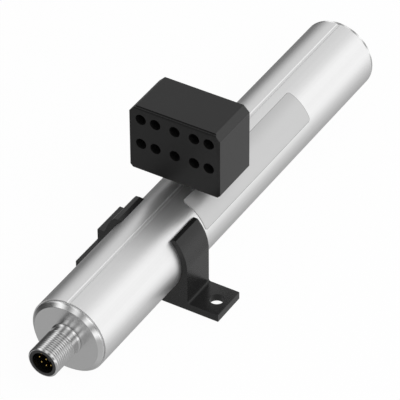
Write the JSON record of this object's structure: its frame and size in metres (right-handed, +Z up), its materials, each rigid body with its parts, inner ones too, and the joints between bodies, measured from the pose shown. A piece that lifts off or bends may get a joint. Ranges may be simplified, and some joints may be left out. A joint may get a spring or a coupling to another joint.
{
  "type": "magnetostrictive position sensor",
  "caption": "Round aluminium position sensor with a threaded plug on its front end, a black snap-in clamp with screw feet and a drilled black position magnet that floats above the housing.",
  "frame": {"origin": "centre of the clamp's flat base, below the housing's centre line", "axes": "+X along the housing from the plug end to the closed end, +Y to the left seen from the plug end, +Z up"},
  "size_m": [0.2081, 0.06, 0.0648],
  "materials": {
    "satin_aluminium": "satin anodised, fine brushed along the length",
    "turned_aluminium": "turned, polished rim and matt face",
    "nickel_plate": "bright nickel plate",
    "gold_contact": "gold plate",
    "black_insert": "matt moulded",
    "black_clamp": "fine moulded texture",
    "black_magnet_housing": "fine matt",
    "label_film": "matt grey film",
    "seal_rubber": "matt",
    "circuit_laminate": "solder mask",
    "chip_moulding": "matt",
    "can_aluminium": "bright",
    "ribbon_film": "amber film",
    "sled_plastic": "moulded",
    "solder_brass": "satin",
    "sensing_alloy": "drawn",
    "copper_winding": "enamelled",
    "clear_sleeve": "drawn tube",
    "soft_silicone": "matt",
    "magnet_material": "ground",
    "pole_steel": "rolled"
  },
  "bodies": {
    "sensor": {"profile_tube": "satin_aluminium", "connector_cap": "turned_aluminium", "rear_cap": "turned_aluminium", "connector_cap_seal": "seal_rubber", "rear_cap_seal": "seal_rubber", "connector_shell": "nickel_plate", "connector_shell_seal": "seal_rubber", "connector_nut": "nickel_plate", "contact_carrier": "black_insert", "connector_board": "circuit_laminate", "ribbon_lead": "ribbon_film", "ribbon_header": "chip_moulding", "main_circuit_board": "circuit_laminate", "controller_chip": "chip_moulding", "timing_chip": "chip_moulding", "line_driver_chip": "chip_moulding", "storage_capacitor": "can_aluminium", "filter_inductor": "chip_moulding", "sensor_sled": "sled_plastic", "waveguide_anchor": "solder_brass", "waveguide_wire": "sensing_alloy", "waveguide_sleeve": "clear_sleeve", "coil_bobbin": "sled_plastic", "pickup_coil": "copper_winding", "bias_magnet": "magnet_material", "return_wire": "copper_winding", "damping_plug": "soft_silicone", "tail_clip": "solder_brass", "nameplate_label": "label_film", "contact_pin_1": "gold_contact", "contact_pin_2": "gold_contact", "contact_pin_3": "gold_contact", "contact_pin_4": "gold_contact", "contact_pin_5": "gold_contact", "contact_pin_6": "gold_contact", "contact_pin_7": "gold_contact", "contact_pin_8": "gold_contact"},
    "clamp": {"mounting_clamp": "black_clamp"},
    "position_magnet": {"magnet_housing": "black_magnet_housing", "bar_magnet_left": "magnet_material", "bar_magnet_right": "magnet_material", "pole_plate": "pole_steel", "magnet_cover": "black_magnet_housing"}
  },
  "joints": [
    {"name": "magnet_slide", "type": "slide", "parent": "sensor", "child": "position_magnet", "axis": [1, 0, 0], "range_m": [-0.011, 0.064]},
    {"name": "clamp_slide", "type": "slide", "parent": "sensor", "child": "clamp", "axis": [1, 0, 0], "range_m": [-0.045, 0.002]}
  ]
}
